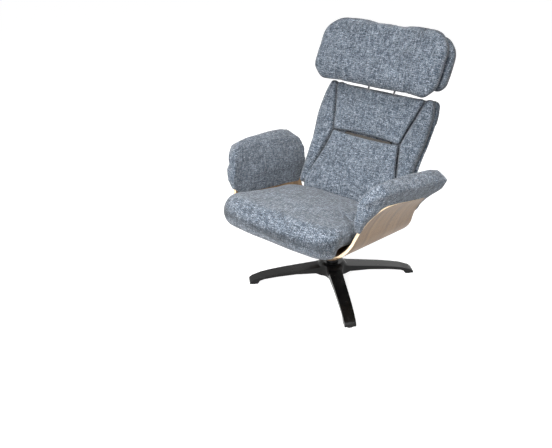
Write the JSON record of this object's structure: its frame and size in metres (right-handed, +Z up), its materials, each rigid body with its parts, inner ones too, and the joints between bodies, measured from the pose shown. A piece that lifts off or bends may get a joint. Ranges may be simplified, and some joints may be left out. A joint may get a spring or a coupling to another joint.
{
  "type": "recliner armchair",
  "caption": "Swivel lounge chair: padded moulded-ply shell on a four-star foot, with reclining back, sliding seat, adjustable headrest and release lever.",
  "frame": {"origin": "on the swivel axis at floor level", "axes": "+Z up along the swivel axis, the chair faces -Y, +X to the sitter's left"},
  "size_m": [0.808, 0.891, 1.0446],
  "materials": {
    "tweed": "blue-grey basket weave wool blend",
    "moulded_ply": "brown oak veneer with a pale ply edge, satin lacquer",
    "birch_ply": "unfinished birch ply",
    "black_gloss": "gloss black enamel",
    "black_tube": "gloss black enamel",
    "black_steel": "matt black powder coat",
    "strut_black": "satin black enamel",
    "lever_black": "satin black enamel",
    "moulded_black": "moulded black polypropylene",
    "glide_black": "moulded black polyethylene",
    "bush_nylon": "natural nylon",
    "bright_steel": "ground steel",
    "spring_steel": "blued spring steel",
    "zinc_steel": "zinc-plated steel",
    "webbing": "black elastic webbing"
  },
  "bodies": {
    "base": {"star_base": "black_gloss", "leg_glides": "glide_black", "hub_cap": "moulded_black", "column_tube": "black_tube", "swivel_bush_lower": "bush_nylon", "swivel_bush_upper": "bush_nylon", "thrust_bearing": "bush_nylon"},
    "seat": {"swivel_spindle": "bright_steel", "spindle_clip": "spring_steel", "spindle_socket": "zinc_steel", "mechanism_tray": "black_steel", "tray_bolts": "zinc_steel", "tee_nuts": "zinc_steel", "seat_shell": "moulded_ply", "arm_pad_left": "tweed", "arm_pad_right": "tweed", "rail_left": "zinc_steel", "rail_right": "zinc_steel", "rail_screws": "zinc_steel", "pivot_bracket_left": "black_steel", "pivot_bracket_right": "black_steel", "bracket_bolts": "zinc_steel", "pivot_pins": "bright_steel", "strut_ears": "black_steel", "strut_pin_fixed": "bright_steel", "gas_cylinder": "strut_black", "lever_bushes": "bush_nylon"},
    "seat_carriage": {"slide_shoes": "bush_nylon", "seat_frame": "birch_ply", "seat_crossbar": "zinc_steel", "seat_webbing": "webbing", "seat_links": "zinc_steel", "seat_cushion": "tweed"},
    "backrest": {"back_frame": "black_steel", "hinge_bushes": "bush_nylon", "crank_plates": "black_steel", "crank_pin_bar": "bright_steel", "back_webbing": "webbing", "lumbar_pad": "tweed", "upper_back_pad": "tweed", "bolster_left": "tweed", "bolster_right": "tweed", "back_rear_cover": "tweed", "guide_plate": "black_steel", "headrest_guides": "bush_nylon"},
    "headrest_slide": {"headrest_stalks": "bright_steel", "headrest_hinge_pin": "bright_steel"},
    "headrest": {"headrest_bracket": "black_steel", "head_pillow": "tweed", "nape_pad": "tweed"},
    "lever": {"recline_lever": "lever_black"},
    "valve_push": {"push_rod": "bright_steel"},
    "strut_rod": {"gas_rod": "bright_steel"}
  },
  "joints": [
    {"name": "seat_swivel", "type": "hinge", "parent": "base", "child": "seat", "pos_m": [0, 0, 0.2], "axis": [0, 0, 1], "continuous": true},
    {"name": "back_recline", "type": "hinge", "parent": "seat", "child": "backrest", "pos_m": [0, 0.11087, 0.34547], "axis": [-1, 0, 0], "range_deg": [0, 24]},
    {"name": "seat_slide", "type": "slide", "parent": "seat", "child": "seat_carriage", "axis": [0, -0.9799, 0.1994], "range_m": [0, 0.0285]},
    {"name": "strut_stroke", "type": "slide", "parent": "seat", "child": "strut_rod", "axis": [0, -0.9799, 0.1994], "range_m": [0, 0.0285]},
    {"name": "headrest_height", "type": "slide", "parent": "backrest", "child": "headrest_slide", "axis": [0, 0.4818, 0.8763], "range_m": [0, 0.055]},
    {"name": "headrest_tilt", "type": "hinge", "parent": "headrest_slide", "child": "headrest", "pos_m": [0, 0.29733, 0.78843], "axis": [1, 0, 0], "range_deg": [0, 18]},
    {"name": "recline_release", "type": "hinge", "parent": "seat", "child": "lever", "pos_m": [0, -0.10648, 0.2703], "axis": [1, 0, 0], "range_deg": [0, 20], "stiffness_Nm_per_rad": 3, "springref_deg": -2.86},
    {"name": "valve_stroke", "type": "slide", "parent": "seat", "child": "valve_push", "axis": [0, 0.1994, 0.9799], "range_m": [0, 0.0056]}
  ],
  "couplings": [
    {"joint": "seat_slide", "follows": "back_recline", "m_per_rad": 0.065519},
    {"joint": "strut_stroke", "follows": "back_recline", "m_per_rad": 0.065519},
    {"joint": "valve_stroke", "follows": "recline_release", "m_per_rad": 0.014697}
  ]
}
